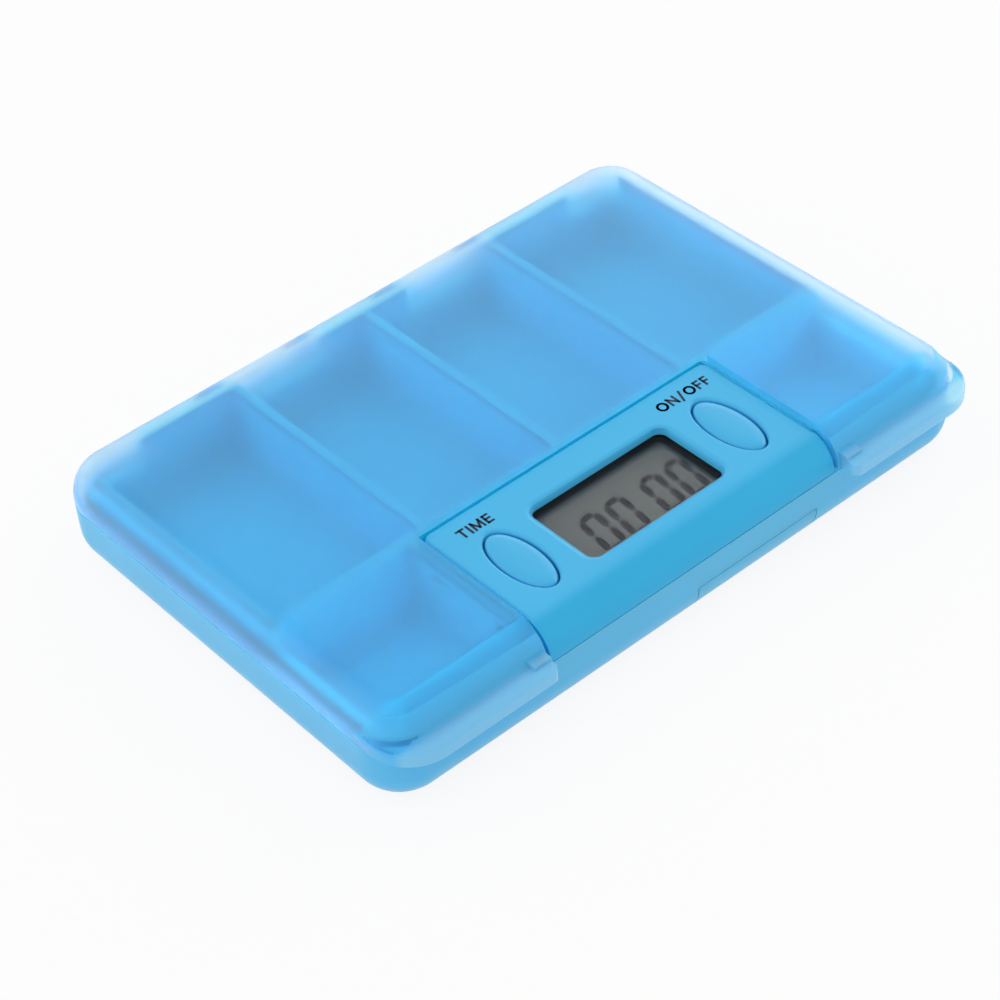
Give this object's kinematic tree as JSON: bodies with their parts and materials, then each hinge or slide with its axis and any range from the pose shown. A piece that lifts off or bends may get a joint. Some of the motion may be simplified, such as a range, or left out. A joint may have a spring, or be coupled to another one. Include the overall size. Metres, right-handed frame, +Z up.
{
  "type": "automatic pill dispenser",
  "caption": "Flat pocket pill organiser: hinged translucent lid over divided compartments, with a built-in reminder timer with display, push buttons and a sliding battery door.",
  "frame": {"origin": "centre of the flat underside of the case, on the table", "axes": "+X to the right along the length, +Y to the hinge at the back, +Z up"},
  "size_m": [0.1, 0.076, 0.015],
  "materials": {
    "tray_plastic": "translucent blue polypropylene, satin",
    "lid_plastic": "frosted translucent blue polypropylene",
    "cover_plastic": "opaque blue, satin",
    "button_plastic": "opaque blue, satin",
    "clear_plastic": "clear window, polished",
    "black_foam": "black foam, matte",
    "lcd_glass": "grey display glass",
    "lcd_segments": "dark display segments",
    "contact_rubber": "conductive rubber",
    "board": "green solder mask",
    "resin": "black resin",
    "crystal_can": "plated can",
    "ceramic": "fired ceramic",
    "dome_steel": "stainless dome",
    "screw_steel": "zinc-plated steel",
    "cell_steel": "nickel-plated steel",
    "contact_brass": "nickel-plated spring brass",
    "buzzer_brass": "brass",
    "wire_sheath": "plastic sheath"
  },
  "bodies": {
    "case": {"base_tray": "tray_plastic", "compartments": "tray_plastic", "timer_cover": "cover_plastic", "display_window": "clear_plastic", "display_gasket": "black_foam", "display_glass": "lcd_glass", "display_segments": "lcd_segments", "contact_strips": "contact_rubber", "circuit_board": "board", "chip_cap": "resin", "crystal": "crystal_can", "capacitors": "ceramic", "switch_domes": "dome_steel", "board_screws": "screw_steel", "coin_cell": "cell_steel", "positive_contact": "contact_brass", "negative_contact": "contact_brass", "buzzer_disc": "buzzer_brass", "buzzer_ceramic": "ceramic", "buzzer_wires": "wire_sheath"},
    "lid": {"lid": "lid_plastic"},
    "left_button": {"left_button": "button_plastic"},
    "right_button": {"right_button": "button_plastic"},
    "battery_door": {"battery_door": "tray_plastic"}
  },
  "joints": [
    {"name": "lid_hinge", "type": "hinge", "parent": "case", "child": "lid", "pos_m": [0, 0.0364, 0.0082], "axis": [-1, 0, 0], "range_deg": [0, 180]},
    {"name": "left_button_press", "type": "slide", "parent": "case", "child": "left_button", "axis": [0, 0, -1], "range_m": [0, 0.0005], "stiffness_N_per_m": 1000},
    {"name": "right_button_press", "type": "slide", "parent": "case", "child": "right_button", "axis": [0, 0, -1], "range_m": [0, 0.0005], "stiffness_N_per_m": 1000},
    {"name": "battery_door_slide", "type": "slide", "parent": "case", "child": "battery_door", "axis": [0, -1, 0], "range_m": [0, 0.024]}
  ]
}
